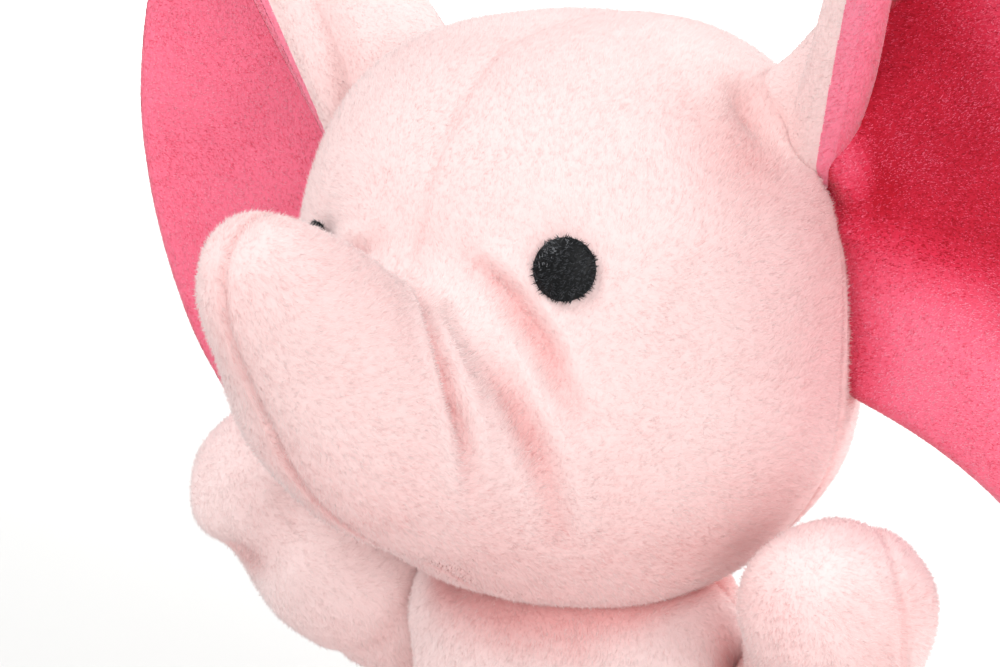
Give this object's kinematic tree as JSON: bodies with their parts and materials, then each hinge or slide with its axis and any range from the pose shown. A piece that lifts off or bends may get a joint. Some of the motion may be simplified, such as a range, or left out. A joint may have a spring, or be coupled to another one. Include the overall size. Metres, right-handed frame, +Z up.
{
  "type": "plush elephant",
  "caption": "Seated plush elephant with a raised trunk, large folded ears with a brighter lining, embroidered eyes, stubby arms, legs with round soles and a thin tail.",
  "frame": {"origin": "middle of the flat underside of the seat, on the surface it sits on", "axes": "+Z up, the face looks along -Y, +X is the elephant's own left"},
  "size_m": [0.2386, 0.1714, 0.241],
  "materials": {
    "pale_pink_plush": "short dense velour pile, pale pink",
    "hot_pink_plush": "short dense velour pile, hot pink",
    "fibrefill": "loose polyester fibre",
    "pouch_cloth": "plain woven cloth filled with pellets",
    "black_thread": "satin-stitched embroidery thread",
    "pink_thread": "sewing thread",
    "satin_ribbon": "blank satin ribbon"
  },
  "bodies": {
    "torso": {"belly_panel": "pale_pink_plush", "back_panel_left": "pale_pink_plush", "back_panel_right": "pale_pink_plush", "seat_panel": "pale_pink_plush", "torso_stuffing": "fibrefill", "pellet_pouch": "pouch_cloth", "closing_seam_thread": "pink_thread", "care_label": "satin_ribbon"},
    "neck": {"neck_stuffing": "fibrefill"},
    "head": {"face_left": "pale_pink_plush", "face_right": "pale_pink_plush", "head_back_left": "pale_pink_plush", "head_back_right": "pale_pink_plush", "head_stuffing": "fibrefill", "eye_left": "black_thread", "eye_right": "black_thread"},
    "trunk": {"trunk_left": "pale_pink_plush", "trunk_right": "pale_pink_plush", "trunk_stuffing": "fibrefill"},
    "tail": {"tail": "pale_pink_plush"},
    "ear_left": {"ear_left_lining": "hot_pink_plush", "ear_left_wadding": "fibrefill", "ear_left_back": "pale_pink_plush"},
    "arm_left": {"arm_left_front": "pale_pink_plush", "arm_left_back": "pale_pink_plush", "arm_left_stuffing": "fibrefill"},
    "leg_left": {"leg_left_outer": "pale_pink_plush", "leg_left_inner": "pale_pink_plush", "leg_left_sole": "hot_pink_plush", "leg_left_stuffing": "fibrefill"},
    "ear_right": {"ear_right_lining": "hot_pink_plush", "ear_right_wadding": "fibrefill", "ear_right_back": "pale_pink_plush"},
    "arm_right": {"arm_right_front": "pale_pink_plush", "arm_right_back": "pale_pink_plush", "arm_right_stuffing": "fibrefill"},
    "leg_right": {"leg_right_outer": "pale_pink_plush", "leg_right_inner": "pale_pink_plush", "leg_right_sole": "hot_pink_plush", "leg_right_stuffing": "fibrefill"}
  },
  "joints": [
    {"name": "neck_turn", "type": "hinge", "parent": "torso", "child": "neck", "pos_m": [0, 0, 0.099], "axis": [0, 0, 1], "range_deg": [-8, 8], "stiffness_Nm_per_rad": 0.5},
    {"name": "head_nod", "type": "hinge", "parent": "neck", "child": "head", "pos_m": [0, 0, 0.099], "axis": [1, 0, 0], "range_deg": [-10, 8], "stiffness_Nm_per_rad": 0.5},
    {"name": "trunk_curl", "type": "hinge", "parent": "head", "child": "trunk", "pos_m": [0, -0.069, 0.149], "axis": [1, 0, 0], "range_deg": [-15, 20], "stiffness_Nm_per_rad": 0.05},
    {"name": "tail_swing", "type": "hinge", "parent": "torso", "child": "tail", "pos_m": [0, 0.0385, 0.021], "axis": [0, 0, 1], "range_deg": [-30, 30], "stiffness_Nm_per_rad": 0.002},
    {"name": "ear_left_flap", "type": "hinge", "parent": "head", "child": "ear_left", "pos_m": [0.051, 0.012, 0.138], "axis": [-0.1496, -0.1574, 0.9761], "range_deg": [-12, 20], "stiffness_Nm_per_rad": 0.04},
    {"name": "arm_left_swing", "type": "hinge", "parent": "torso", "child": "arm_left", "pos_m": [0.0395, 0.005, 0.0755], "axis": [0, 1, 0], "range_deg": [-2, 40], "stiffness_Nm_per_rad": 0.06},
    {"name": "leg_left_swing", "type": "hinge", "parent": "torso", "child": "leg_left", "pos_m": [0.023, -0.022, 0.0213], "axis": [0, 0, 1], "range_deg": [-8, 20], "stiffness_Nm_per_rad": 0.06},
    {"name": "ear_right_flap", "type": "hinge", "parent": "head", "child": "ear_right", "pos_m": [-0.051, 0.012, 0.138], "axis": [-0.1496, 0.1574, -0.9761], "range_deg": [-12, 20], "stiffness_Nm_per_rad": 0.04},
    {"name": "arm_right_swing", "type": "hinge", "parent": "torso", "child": "arm_right", "pos_m": [-0.0395, 0.005, 0.0755], "axis": [0, -1, 0], "range_deg": [-2, 40], "stiffness_Nm_per_rad": 0.06},
    {"name": "leg_right_swing", "type": "hinge", "parent": "torso", "child": "leg_right", "pos_m": [-0.023, -0.022, 0.0213], "axis": [0, 0, -1], "range_deg": [-8, 20], "stiffness_Nm_per_rad": 0.06}
  ]
}
